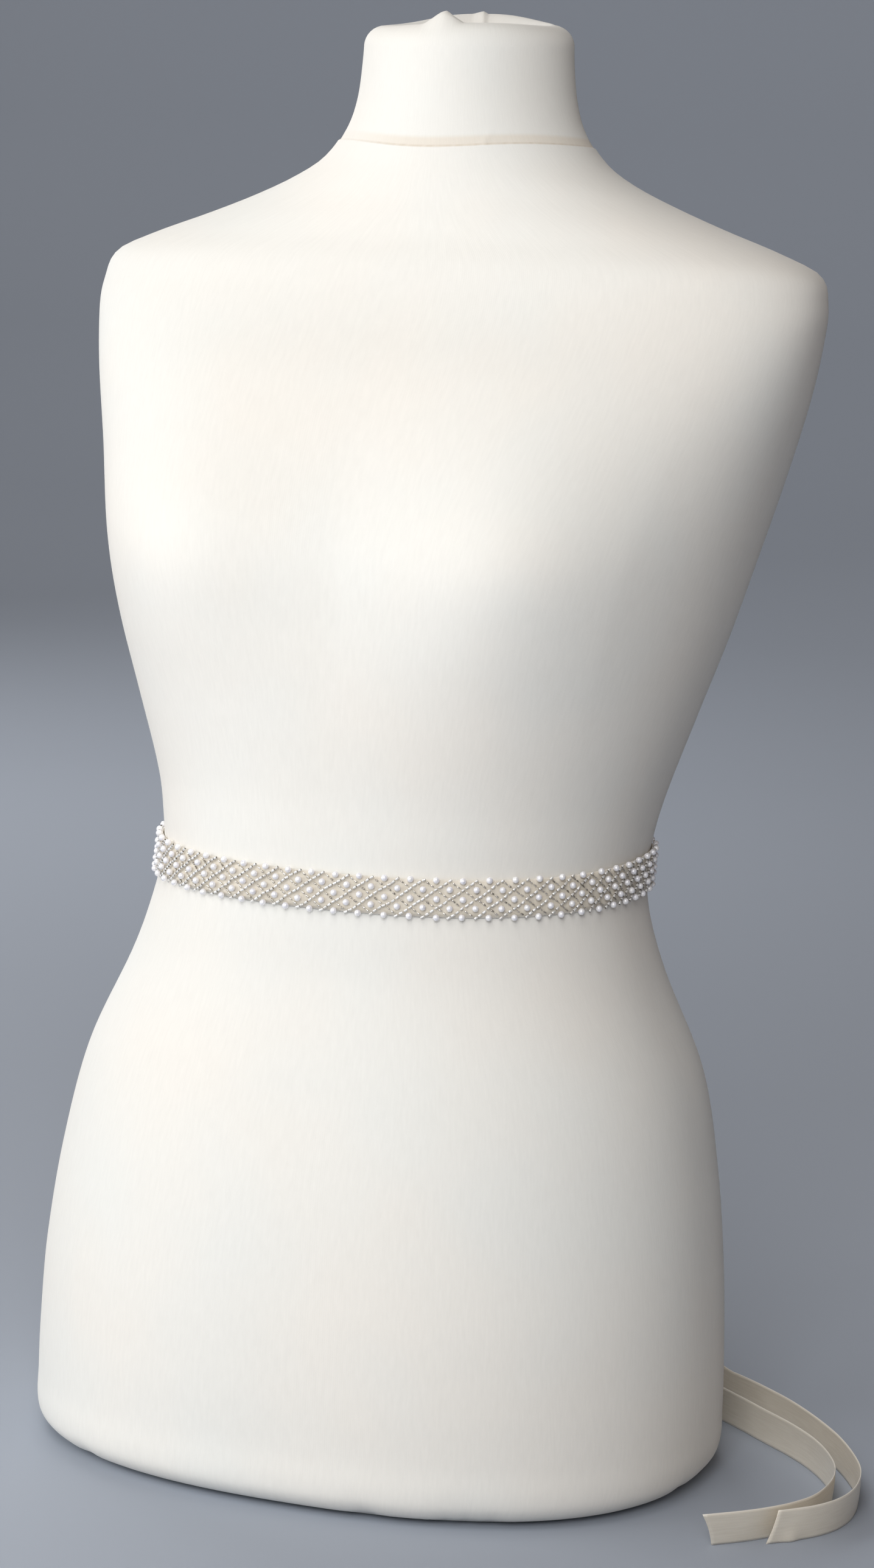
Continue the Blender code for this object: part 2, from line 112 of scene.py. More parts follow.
# A small pucker across the hem: angle round the form, height, how far it stands off, half width
PUCKER_ANGLE = -64.0
PUCKER_HEIGHT = 0.6612
PUCKER_RISE = (0.0005, 0.0003)      # at its lower and upper end
PUCKER_WIDTH = 0.0012

# Creases of the jersey over the base's edge: angle round the form, top, depth, half width
BASE_CREASES = (
    (-78.0, 0.017, 0.0012, 0.0050),
    (-64.5, 0.022, 0.0009, 0.0045),
    (-60.8, 0.028, 0.0011, 0.0045),
    (-56.5, 0.020, 0.0009, 0.0060),
    (-128.0, 0.018, 0.0008, 0.0060),
    (-172.0, 0.022, 0.0010, 0.0050),
    (-8.0, 0.020, 0.0008, 0.0055),
    (38.0, 0.024, 0.0011, 0.0050),
    (84.0, 0.020, 0.0010, 0.0060),
    (96.0, 0.016, 0.0008, 0.0045),
    (141.0, 0.022, 0.0010, 0.0055),
)
# The gathered jersey crowns the neck's top: rise, middle and half width, in front and behind
NECK_CROWN_FRONT = (0.0029, 0.0, 0.036)
NECK_CROWN_BACK = (0.0046, 0.006, 0.030)
# Its tucks, by places to the right and to the back of the neck's middle: start, end, rise at each,
# half width to the left and to the right
NECK_TUCKS = (
    ((-0.0119, -0.0370), (-0.0085, -0.0120), 0.0068, 0.0010, 0.0104, 0.0094),
    ((0.0070, 0.0450), (0.0066, -0.0200), 0.0013, 0.0007, 0.0050, 0.0012),
)

# Ribbon
RIBBON_WIDTH = 0.018
RIBBON_CLOTH = 0.0004       # thickness of the satin
RIBBON_LIFT = 0.0011        # its outer side, off the form
BELT_HEIGHT = 0.302         # middle of the ribbon at the form's widest line
BELT_SLOPE = 0.0388         # the ribbon sits lower in front
BELT_CENTRE = 0.0165        # where along Y that height is measured
KNOT_WIDTH = 0.020
KNOT_DEPTH = 0.011
KNOT_TALL = 0.022
KNOT_GAP = 0.0003

# Beaded strip: pearls in five rows, and strings of small beads that cross midway between them
PEARL_PITCH = 0.0123
PEARL_ROW_STEP = 0.0044
PEARL_RADIUS = 0.00166
PITCHES_EACH_SIDE = 24
OUTER_ROW = 2
BEAD_PLACES = (1 / 3, 2 / 3)        # shares of the way from crossing to crossing, two small beads
UPPER_BEAD = (0.00202, 0.00065)     # length and radius on the strings that lie on top
CROSSING_BEAD = (0.00188, 0.00060)  # where they cross, one bead covers both threads
LOWER_BEAD = (0.00165, 0.00040)     # on the strings that pass below
UPPER_LIFT = 0.00130                # the strings' middle lines, off the ribbon
LOWER_LIFT = 0.00050
THREAD_RADIUS = 0.00010
STRAY = 0.00042                     # how far a crossing may sit from its place, hand woven

# Tails. The drop lies on the form's back: side, height, lift off the form. It starts just below
# the knot, or at its first height where that is lower.
# The fall leaves it: side, depth, height. The run stands on the table: side, depth.
# slant: how far each corner of the cut end is off square; lean: degrees forward at that end
# end_dent: a soft dent low down near that end; hollow_end: how far the cut bows inward
TAILS = {
    "tail_inner": {
        "drop": (
            (-0.0042, 0.3000, 0.0048),
            (-0.0010, 0.2640, 0.0048),
            (0.0050, 0.2350, 0.0032),
            (0.0130, 0.2050, 0.0018),
            (0.0220, 0.1750, 0.0016),
            (0.0320, 0.1450, 0.0022),
        ),
        "fall": (
            (0.0430, 0.1480, 0.1150),
            (0.0560, 0.1510, 0.0840),
            (0.0715, 0.1545, 0.0550),
            (0.0895, 0.1540, 0.0310),
            (0.1090, 0.1475, 0.0155),
        ),
        "run": (
            (0.1290, 0.1365), (0.1600, 0.1110), (0.1820, 0.0910), (0.2010, 0.0740),
            (0.2180, 0.0550), (0.2310, 0.0350), (0.2400, 0.0130), (0.2430, -0.0110), (0.2400, -0.0340),
            (0.2300, -0.0530), (0.2190, -0.0670), (0.2035, -0.0820),
        ),
        "slant": 0.0040,
        "end_dent": 0.0,
        "lean": 16,
        "hollow_end": 0.0008,
    },
    "tail_outer": {
        "drop": (
            (0.0042, 0.3000, 0.0072),
            (0.0090, 0.2640, 0.0084),
            (0.0170, 0.2350, 0.0078),
            (0.0270, 0.2050, 0.0062),
            (0.0380, 0.1750, 0.0062),
            (0.0490, 0.1450, 0.0085),
        ),
        "fall": (
            (0.0605, 0.1560, 0.1150),
            (0.0740, 0.1625, 0.0850),
            (0.0900, 0.1670, 0.0560),
            (0.1085, 0.1670, 0.0315),
            (0.1280, 0.1605, 0.0155),
        ),
        "run": (
            (0.1460, 0.1500), (0.1670, 0.1340), (0.1870, 0.1160), (0.2060, 0.0950),
            (0.2250, 0.0700), (0.2400, 0.0450), (0.2515, 0.0190), (0.2562, -0.0080), (0.2540, -0.0290),
            (0.2465, -0.0455), (0.2305, -0.0640),
        ),
        "slant": -0.0018,
        "end_dent": 0.0014,
        "lean": 13,
        "hollow_end": 0.0003,
    },
}
TAIL_STEP = 0.010
TAIL_FINE_STEP = 0.0025
TAIL_TURN_FROM = 0.140
TAIL_PINCH = 0.45
TAIL_PINCH_LENGTH = 0.030
TAIL_ACROSS = 12
LEAN_FROM = 0.030
LEAN_LENGTH = 0.080
# Soft bends across a tail: place along it, depth, half length
TAIL_BENDS = (
    (0.085, 0.0007, 0.010),
    (0.150, -0.0006, 0.012),
    (0.236, 0.0008, 0.014),
    (0.305, -0.0005, 0.009),
    (0.371, 0.0006, 0.012),
    (0.452, -0.0004, 0.008),
    (0.530, 0.0004, 0.010),
)

# The camera, measured from the photo: place, turn, tilt and roll
CAMERA_PLACE = (0.6737, -1.7341, 0.5850)
CAMERA_AZIMUTH = 20.63
CAMERA_DOWN = 7.5
CAMERA_ROLL = 2.3
CAMERA_LENS = 85.95

# The paper's section, from the middle outward: reach and height
PAPER_SECTION = (
    (1.6, 0.0), (2.5, 0.03), (3.4, 0.11), (4.2, 0.25), (4.9, 0.50),
    (5.4, 0.90), (5.7, 1.50), (5.8, 2.30), (5.8, 4.50),
)
# Lamps on the form: name, place, target, size, power, colour
LAMPS = (
    ("window", (-1.75, -1.03, 0.88), (0.0, 0.0, 0.50), (1.8, 1.4), 25.0, "#FFFFFF"),
    ("window_edge", (-0.75, -1.99, 1.00), (0.0, 0.0, 0.40), (1.4, 1.8), 6.0, "#FFFFFF"),
    ("front", (0.65, -2.27, 1.30), (0.0, 0.0, 0.40), (1.0, 1.0), 28.0, "#FFFFFF"),
    ("overhead", (0.15, -1.54, 2.40), (0.0, 0.0, 0.40), (1.4, 1.4), 14.5, "#FFFFFF"),
    ("behind", (-1.62, 1.74, 1.80), (0.0, 0.0, 0.30), (1.6, 1.6), 28.0, "#FFFFFF"),
    ("warm_fill", (1.90, -0.30, 1.30), (0.0, 0.0, 0.40), (1.2, 1.2), 0.6, "#FFCB9C"),
)
# Lamps that look away from the form, at the paper: name, turn round the form, power, colour
PAPER_LAMPS = (
    ("paper_behind", 111, 40.0, "#FFFFFF"),
    ("paper_left", 21, 19.0, "#FFE0C2"),
    ("paper_front", -69, 19.0, "#FFE0C2"),
    ("paper_right", 201, 19.0, "#FFE0C2"),
)
PAPER_LAMP_FROM = (2.8, 2.9)        # reach and height of such a lamp
PAPER_LAMP_TO = (5.5, 1.1)          # and of the place it looks at


def hex_colour(code):
    """The linear colour of an sRGB hex value."""
    channels = [int(code[i:i + 2], 16) / 255 for i in (1, 3, 5)]
    linear = [c / 12.92 if c <= 0.04045 else ((c + 0.055) / 1.055) ** 2.4 for c in channels]
    return (*linear, 1.0)


def direction_of_view():
    """The camera's right, up and forward directions."""
    turn = math.radians(CAMERA_AZIMUTH)
    down = math.radians(CAMERA_DOWN)
    roll = math.radians(CAMERA_ROLL)
    ahead = math.cos(down)
    forward = Vector((-math.sin(turn) * ahead, math.cos(turn) * ahead, -math.sin(down)))
    level = Vector((math.cos(turn), math.sin(turn), 0.0))
    right = level * math.cos(roll) + level.cross(forward) * math.sin(roll)
    return right, right.cross(forward), forward


def make_camera():
    right, up, forward = direction_of_view()
    lens = bpy.data.cameras.new("camera")
    lens.sensor_fit = "VERTICAL"
    lens.sensor_height = 36.0
    lens.lens = CAMERA_LENS
    lens.clip_end = 50.0
    camera = bpy.data.objects.new("camera", lens)
    turned = Matrix((right, up, -forward)).transposed().to_4x4()
    camera.matrix_world = Matrix.Translation(CAMERA_PLACE) @ turned
    bpy.context.scene.collection.objects.link(camera)
    bpy.context.scene.camera = camera


def add_node(tree, kind, settings=None, links=None):
    """Adds a node with its settings and its links. A setting is an input's name or index, or an
    attribute of the node; a link is an input's name or index with the socket that feeds it."""
    node = tree.nodes.new(kind)
    for name, value in (settings or {}).items():
        if isinstance(name, str) and hasattr(node, name):
            setattr(node, name, value)
        else:
            node.inputs[name].default_value = value
    for name, socket in (links or {}).items():
        tree.links.new(socket, node.inputs[name])
    return node


def new_material(name, settings):
    """A material with a Principled BSDF of these settings, its tree and its shader."""
    made = bpy.data.materials.new(name)
    made.use_nodes = True
    shader = made.node_tree.nodes["Principled BSDF"]
    for key, value in settings.items():
        shader.inputs[key].default_value = value
    return made, made.node_tree, shader


def make_jersey():
    """Cotton jersey, stretched: fine upright wales, matt, with a faint bloom of fibres."""
    made, tree, shader = new_material("jersey_ivory_cotton", {
        "Roughness": 0.88, "Specular IOR Level": 0.25, "Sheen Weight": 0.12, "Sheen Roughness": 0.6,
    })
    uv = add_node(tree, "ShaderNodeUVMap", {"uv_map": "cloth"}).outputs["UV"]
    place = add_node(tree, "ShaderNodeTexCoord").outputs["Object"]
    band = add_node(tree, "ShaderNodeAttribute", {"attribute_name": "hem_band"}).outputs["Fac"]
    line = add_node(tree, "ShaderNodeAttribute", {"attribute_name": "hem_step_shade"}).outputs["Fac"]
    blotch = add_node(tree, "ShaderNodeTexNoise", {"Scale": 9.0, "Detail": 2.0, "Roughness": 0.5},
                      {"Vector": place}).outputs["Fac"]
    # slubs of the yarn, about 1.6 mm across and 11 mm tall: the form is about a metre round
    slub_uv = add_node(tree, "ShaderNodeMapping", {"Scale": (620.0, 90.0, 1.0)},
                       {"Vector": uv}).outputs[0]
    slub = add_node(tree, "ShaderNodeTexNoise", {"Scale": 1.0, "Detail": 3.0, "Roughness": 0.6},
                    {"Vector": slub_uv}).outputs["Fac"]
    tone = add_node(tree, "ShaderNodeValToRGB", None, {"Fac": blotch})
    tone.color_ramp.elements[0].position = 0.35
    tone.color_ramp.elements[0].color = hex_colour("#ECEBE5")
    tone.color_ramp.elements[1].position = 0.65
    tone.color_ramp.elements[1].color = hex_colour("#EFEBE3")
    fleck = add_node(tree, "ShaderNodeMapRange",
                     {"From Min": 0.3, "From Max": 0.7, "To Min": 0.975, "To Max": 1.01}, {"Value": slub})
    mottled = add_node(tree, "ShaderNodeVectorMath", {"operation": "SCALE"},
                       {0: tone.outputs["Color"], "Scale": fleck.outputs["Result"]})
    warm = add_node(tree, "ShaderNodeMix", {"data_type": "RGBA", "blend_type": "MULTIPLY"},
                    {"Factor": band, 6: mottled.outputs[0]})
    warm.inputs[7].default_value = hex_colour("#F8F2EB")
    # painted shade: a thin dark line multiplied in along the hem's step, where the lapped edge throws a
    # shadow
    hem_step_shaded = add_node(tree, "ShaderNodeMix", {"data_type": "RGBA", "blend_type": "MULTIPLY"},
                    {"Factor": line, 6: warm.outputs[2]})
    hem_step_shaded.inputs[7].default_value = hex_colour("#DFD7CC")
    tree.links.new(hem_step_shaded.outputs[2], shader.inputs["Base Color"])
    # 1200 wales round the form are 0.8 mm each at the hips; a wave's scale counts in turns of 2 pi
    wale_uv = add_node(tree, "ShaderNodeMapping", {"Scale": (float(WALE_COUNT), 1.0, 1.0)},
                       {"Vector": uv}).outputs[0]
    wales = add_node(tree, "ShaderNodeTexWave",
                     {"wave_type": "BANDS", "bands_direction": "X", "Scale": math.tau / 20,
                      "Distortion": 0.0}, {"Vector": wale_uv}).outputs["Fac"]
    relief = add_node(tree, "ShaderNodeMath", {"operation": "MULTIPLY_ADD", 1: 0.35, 2: 0.0}, {0: wales})
    both = add_node(tree, "ShaderNodeMath", {"operation": "ADD"}, {0: relief.outputs[0], 1: slub})
    bump = add_node(tree, "ShaderNodeBump", {"Strength": 0.12, "Distance": 0.0003},
                    {"Height": both.outputs[0]})
    tree.links.new(bump.outputs["Normal"], shader.inputs["Normal"])
    return made


def make_satin():
    """Polyester satin ribbon, woven: a soft broad sheen, fine weft ribs and a firm selvedge."""
    made, tree, shader = new_material("satin_ivory_ribbon", {
        "Roughness": 0.42, "Specular IOR Level": 0.45, "Sheen Weight": 0.15, "Sheen Roughness": 0.35,
        "Anisotropic": 0.35,
    })
    uv = add_node(tree, "ShaderNodeUVMap", {"uv_map": "cloth"}).outputs["UV"]
    parts = add_node(tree, "ShaderNodeSeparateXYZ", None, {0: uv})
    # the outer 0.6 mm at each edge is the selvedge: raised, and painted lighter as a painted highlight
    # where the edge catches the light
    from_middle = add_node(tree, "ShaderNodeMath", {"operation": "ABSOLUTE"}, {0: parts.outputs["Y"]})
    edge = add_node(tree, "ShaderNodeMapRange", {"From Min": 0.0083, "From Max": 0.0088},
                    {"Value": from_middle.outputs[0]}).outputs["Result"]
    # floats of the satin weave, drawn coarser than they are: 1 mm across and 17 mm along
    streak_uv = add_node(tree, "ShaderNodeMapping", {"Scale": (60.0, 900.0, 1.0)},
                         {"Vector": uv}).outputs[0]
    streak = add_node(tree, "ShaderNodeTexNoise", {"Scale": 1.0, "Detail": 2.0},
                      {"Vector": streak_uv}).outputs["Fac"]
    tone = add_node(tree, "ShaderNodeValToRGB", None, {"Fac": streak})
    tone.color_ramp.elements[0].position = 0.3
    tone.color_ramp.elements[0].color = hex_colour("#E0D7C7")
    tone.color_ramp.elements[1].position = 0.7
    tone.color_ramp.elements[1].color = hex_colour("#E8E0D1")
    # painted highlight: the selvedge's colour is mixed lighter
    pale = add_node(tree, "ShaderNodeMix", {"data_type": "RGBA", "blend_type": "MIX"},
                    {"Factor": edge, 6: tone.outputs["Color"]})
    pale.inputs[7].default_value = hex_colour("#EDE6DA")
    tree.links.new(pale.outputs[2], shader.inputs["Base Color"])
    # weft ribs across the ribbon, drawn 0.6 mm apart, because the real 0.2 mm wouldn't show
    rib_uv = add_node(tree, "ShaderNodeMapping", {"Scale": (1 / 0.0006, 1.0, 1.0)},
                      {"Vector": uv}).outputs[0]
    ribs = add_node(tree, "ShaderNodeTexWave",
                    {"wave_type": "BANDS", "bands_direction": "X", "Scale": math.tau / 20,
                     "Distortion": 0.0}, {"Vector": rib_uv}).outputs["Fac"]
    raised = add_node(tree, "ShaderNodeMath", {"operation": "ADD"}, {0: ribs, 1: edge})
    bump = add_node(tree, "ShaderNodeBump", {"Strength": 0.18, "Distance": 0.0003},
                    {"Height": raised.outputs[0]})
    tree.links.new(bump.outputs["Normal"], shader.inputs["Normal"])
    return made


def make_pearl():
    """Imitation pearl, glass dipped in pearl essence: a near white body with a breath of lilac, soft
    in its shade, and a small sharp highlight from its lacquer."""
    made, tree, shader = new_material("pearl_imitation_lacquered", {
        "Roughness": 0.30, "Specular IOR Level": 0.8, "Coat Weight": 1.0, "Coat Roughness": 0.05,
        "Coat IOR": 2.0, "Sheen Weight": 0.25, "Sheen Roughness": 0.3,
        "Subsurface Weight": 0.35, "Subsurface Scale": 0.0015, "Subsurface Radius": (1.0, 1.0, 1.0),
    })
    place = add_node(tree, "ShaderNodeTexCoord").outputs["Object"]
    # about 3 mm, so that the tone changes from pearl to pearl
    cloud = add_node(tree, "ShaderNodeTexNoise", {"Scale": 380.0, "Detail": 1.0},
                     {"Vector": place}).outputs["Fac"]
    tone = add_node(tree, "ShaderNodeValToRGB", None, {"Fac": cloud})
    tone.color_ramp.elements[0].position = 0.35
    tone.color_ramp.elements[0].color = hex_colour("#EFEEF5")
    tone.color_ramp.elements[1].position = 0.65
    tone.color_ramp.elements[1].color = hex_colour("#F9F7F8")
    tree.links.new(tone.outputs["Color"], shader.inputs["Base Color"])
    return made


def make_lined_glass(name, light, dark, metallic, roughness):
    """Lined glass, cut from drawn tube: a mirror lining under clear glass. Its rims, where the glass turns
    away, are darkened as a painted reflection, and each end as painted shade in the hole. light and dark
    are its range from bead to bead."""
    made, tree, shader = new_material(name, {
        "Metallic": metallic, "Roughness": roughness, "Coat Weight": 1.0, "Coat Roughness": 0.04,
    })
    place = add_node(tree, "ShaderNodeTexCoord").outputs["Object"]
    # about 3 mm, so that the tone changes from bead to bead
    batch = add_node(tree, "ShaderNodeTexNoise", {"Scale": 350.0, "Detail": 1.0},
                     {"Vector": place}).outputs["Fac"]
    tone = add_node(tree, "ShaderNodeValToRGB", None, {"Fac": batch})
    tone.color_ramp.elements[0].position = 0.32
    tone.color_ramp.elements[0].color = hex_colour(dark)
    tone.color_ramp.elements[1].position = 0.56
    tone.color_ramp.elements[1].color = hex_colour(light)
    # painted reflection: the colour darkens towards the grazing rims, as dark surroundings would be seen
    # there
    turned = add_node(tree, "ShaderNodeLayerWeight", {"Blend": 0.5}).outputs["Facing"]
    rim = add_node(tree, "ShaderNodeMapRange", {"From Min": 0.45, "From Max": 0.95, "To Max": 0.60},
                   {"Value": turned}).outputs["Result"]
    painted_rim_reflection = add_node(tree, "ShaderNodeMix", {"data_type": "RGBA", "blend_type": "MIX"},
                     {"Factor": rim, 6: tone.outputs["Color"]})
    painted_rim_reflection.inputs[7].default_value = hex_colour("#5F584D")
    # painted shade: the flat end caps are darkened for the shade inside the bead's hole
    hole = add_node(tree, "ShaderNodeAttribute", {"attribute_name": "bead_end"}).outputs["Fac"]
    ends = add_node(tree, "ShaderNodeMix", {"data_type": "RGBA", "blend_type": "MIX"},
                    {"Factor": hole, 6: painted_rim_reflection.outputs[2]})
    ends.inputs[7].default_value = hex_colour("#625B50")
    tree.links.new(ends.outputs[2], shader.inputs["Base Color"])
    return made


def make_thread():
    """Nylon beading thread, twisted: pale and slightly glossy."""
    made, tree, shader = new_material("thread_nylon", {"Roughness": 0.5})
    place = add_node(tree, "ShaderNodeTexCoord").outputs["Object"]
    # a twist of 0.7 mm
    twist = add_node(tree, "ShaderNodeTexNoise", {"Scale": 1500.0, "Detail": 1.0},
                     {"Vector": place}).outputs["Fac"]
    tone = add_node(tree, "ShaderNodeValToRGB", None, {"Fac": twist})
    tone.color_ramp.elements[0].color = hex_colour("#C9C2B4")
    tone.color_ramp.elements[1].color = hex_colour("#E9E4DA")
    tree.links.new(tone.outputs["Color"], shader.inputs["Base Color"])
    return made


def make_backdrop_paper():
    """Matt studio paper, pale grey."""
    made, tree, shader = new_material("studio_paper", {"Roughness": 0.9, "Specular IOR Level": 0.2})
    shader.inputs["Base Color"].default_value = hex_colour("#A4ABB6")
    return made


def smooth_between(rows, key, at):
    """Read every column of a table at a value of its first column, on a smooth curve."""
    keys = [row[key] for row in rows]
    at = min(max(at, keys[0]), keys[-1])
    index = max(i for i in range(len(rows) - 1) if keys[i] <= at)
    before = max(index - 1, 0)
    after = min(index + 2, len(rows) - 1)
    span = keys[index + 1] - keys[index]
    t = (at - keys[index]) / span
    result = []
    for column in range(len(rows[0])):
        start, end = rows[index][column], rows[index + 1][column]
        slope_start = (end - rows[before][column]) / (keys[index + 1] - keys[before]) * span
        slope_end = (rows[after][column] - start) / (keys[after] - keys[index]) * span
        result.append(
            (2 * t**3 - 3 * t**2 + 1) * start + (t**3 - 2 * t**2 + t) * slope_start
            + (3 * t**2 - 2 * t**3) * end + (t**3 - t**2) * slope_end)
    return result


section_rows = {}


def section_at(height):
    """The row of the section table at a height, kept for the next point at that height."""
    if height not in section_rows:
        section_rows[height] = dict(zip(SECTION_COLUMNS, smooth_between(SECTIONS, 0, height)))
    return section_rows[height]


def rounded_power(value, square):
    return math.copysign(abs(value) ** (2 / square), value)


def bust_rise(x, height):
    spread = BUST_ABOVE if height > BUST_HEIGHT else BUST_BELOW
    across = math.exp(-((abs(x) - BUST_SIDE) / BUST_WIDTH) ** 2)
    return BUST_RISE * across * math.exp(-((height - BUST_HEIGHT) / spread) ** 2)


def form_point(angle, height):
    """A point of the form's skin. Angle 0 is its left side (+X), and -90 degrees its front."""
    row = section_at(height)
    side, depth = math.cos(angle), math.sin(angle)
    x = row["half"] * rounded_power(side, row["square"])
    reach = row["back"] if depth > 0 else row["front"]
    y = reach * rounded_power(depth, row["square"])
    if depth < 0:
        y -= bust_rise(x, height) * min(1.0, -depth * 1.6)
    blend = min(max((height - NECK_SLOPE_FROM) / (NECK_TOP - NECK_SLOPE_FROM), 0.0), 1.0)
    return Vector((x, y + row["centre"], height + NECK_SLOPE * y * blend * blend))


def form_normal(angle, height):
    """The direction straight out of the form's skin."""
    small_angle, small_height = 0.01, 0.0005
    along = form_point(angle + small_angle, height) - form_point(angle - small_angle, height)
    up = form_point(angle, height + small_height) - form_point(angle, height - small_height)
    return along.cross(up).normalized()


def hill(distance, width):
    return math.exp(-((distance / width) ** 2))


def gentle_step(value):
    value = min(max(value, 0.0), 1.0)
    return value * value * (3 - 2 * value)


def angle_apart(degrees, other):
    return (degrees - other + 180) % 360 - 180


def near_segment(point, start, end):
    """The distance from a flat point to a segment, and how far along it the nearest place is."""
    run = (end[0] - start[0], end[1] - start[1])
    length = run[0] ** 2 + run[1] ** 2
    share = ((point[0] - start[0]) * run[0] + (point[1] - start[1]) * run[1]) / length
    share = min(max(share, 0.0), 1.0)
    across = (point[0] - start[0] - run[0] * share, point[1] - start[1] - run[1] * share)
    return math.hypot(*across), share


def cover_rows():
    """The rows of the jersey's faces, from the middle of the base to the middle of the neck's top.
    Each is a kind with a share or a height."""
    rows = [("base", share) for share in (0.02, 0.3, 0.6, 0.8, 0.92)]
    edge_height = NECK_TOP - NECK_EDGE_RADIUS
    height = 0.0
    while height < edge_height - COVER_STEP / 2:
        rows.append(("side", height))
        if height < 0.014:
            height += 0.0014
        elif abs(height - HEM_HEIGHT) < 0.0065:
            height += HEM_FINE
        else:
            height += COVER_STEP
    rows.append(("side", edge_height))
    rows += [("edge", step / 8) for step in range(1, 9)]
    rows += [("top", 1 - step / 44) for step in range(1, 44)]
    return rows


def hem_shift(angle, height):
    """How much lower a row runs where the hem dips at the front."""
    dip = HEM_DIP * hill(angle_apart(math.degrees(angle), HEM_DIP_ANGLE), HEM_DIP_WIDTH)
    return -dip * hill(height - HEM_HEIGHT, 0.014)


def cover_relief(angle, height, x):
    """How far the jersey stands off the form: its lapped hem, a pucker and the base's creases."""
    degrees = math.degrees(angle)
    relief = HEM_THICKNESS * gentle_step((HEM_HEIGHT - height) / HEM_FINE + 0.5) - HEM_THICKNESS
    pucker = (math.radians(angle_apart(degrees, PUCKER_ANGLE)) * 0.062, height - PUCKER_HEIGHT)
    away, share = near_segment(pucker, (-0.0022, -0.0014), (0.0024, 0.0034))
    low, high = PUCKER_RISE
    relief += (low + (high - low) * share) * hill(away, PUCKER_WIDTH)
    for place, top, depth, width in BASE_CREASES:
        away = math.radians(angle_apart(degrees, place)) * 0.15 + (height - 0.006) * 0.25
        relief -= depth * hill(away, width) * gentle_step(1 - height / top)
    return relief


def neck_rise(x, y):
    """How high the jersey stands on the neck's top, at a place from the neck's middle."""
    turn = math.radians(CAMERA_AZIMUTH)
    place = (x * math.cos(turn) + y * math.sin(turn), y * math.cos(turn) - x * math.sin(turn))
    behind = gentle_step(0.5 + place[1] / 0.084)
    rise = 0.0
    for (high, middle, half), share in ((NECK_CROWN_FRONT, 1 - behind), (NECK_CROWN_BACK, behind)):
        rise += high * share * math.exp(-(((place[0] - middle) / half) ** 2) ** 1.5)
    for start, end, high, low, left, right in NECK_TUCKS:
        away, share = near_segment(place, start, end)
        width = left if place[0] < start[0] + (end[0] - start[0]) * share else right
        slope = max(1 - (math.hypot(away, 0.0008) - 0.0008) / width, 0.0)
        rise += (high + (low - high) * share) * slope ** 1.15
    return rise


def cover_point(angle, kind, value):
    """A point of the jersey for one row of its faces."""
    if kind == "base":
        rim = form_point(angle, 0.0)
        return Vector((rim.x * value, rim.y * value, 0.0))
    if kind == "side":
        height = max(value + hem_shift(angle, value), 0.0)
        point = form_point(angle, height)
        relief = cover_relief(angle, value, point.x)
        out = form_normal(angle, max(height, 0.001))
        out.z = out.z if value > 0.002 else 0.0
        moved = point + out * relief
        moved.z = max(moved.z, 0.0) if value > 0.0 else 0.0
        return moved
    rim = form_point(angle, NECK_TOP - NECK_EDGE_RADIUS)
    middle = Vector((0.0, section_at(NECK_TOP)["centre"], 0.0))
    out = Vector((rim.x, rim.y - middle.y, 0.0))
    turn = math.pi / 2 * (value if kind == "edge" else 1.0)
    inward = out.normalized() * (NECK_EDGE_RADIUS * (1 - math.cos(turn)) + HEM_THICKNESS)
    point = rim - inward + Vector((0.0, 0.0, NECK_EDGE_RADIUS * math.sin(turn) - HEM_THICKNESS))
    if kind == "top":
        flat = Vector((point.x - middle.x, point.y - middle.y)) * value
        top = NECK_TOP + NECK_SLOPE * flat.y
        sink = NECK_HOLLOW * 1.6 * gentle_step((1 - value) / 0.42)
        point = Vector((flat.x, flat.y + middle.y, top - HEM_THICKNESS - sink))
    on_top = 1.0 if kind == "top" else gentle_step(value)
    point.z += neck_rise(point.x - middle.x, point.y - middle.y) * on_top
    return point


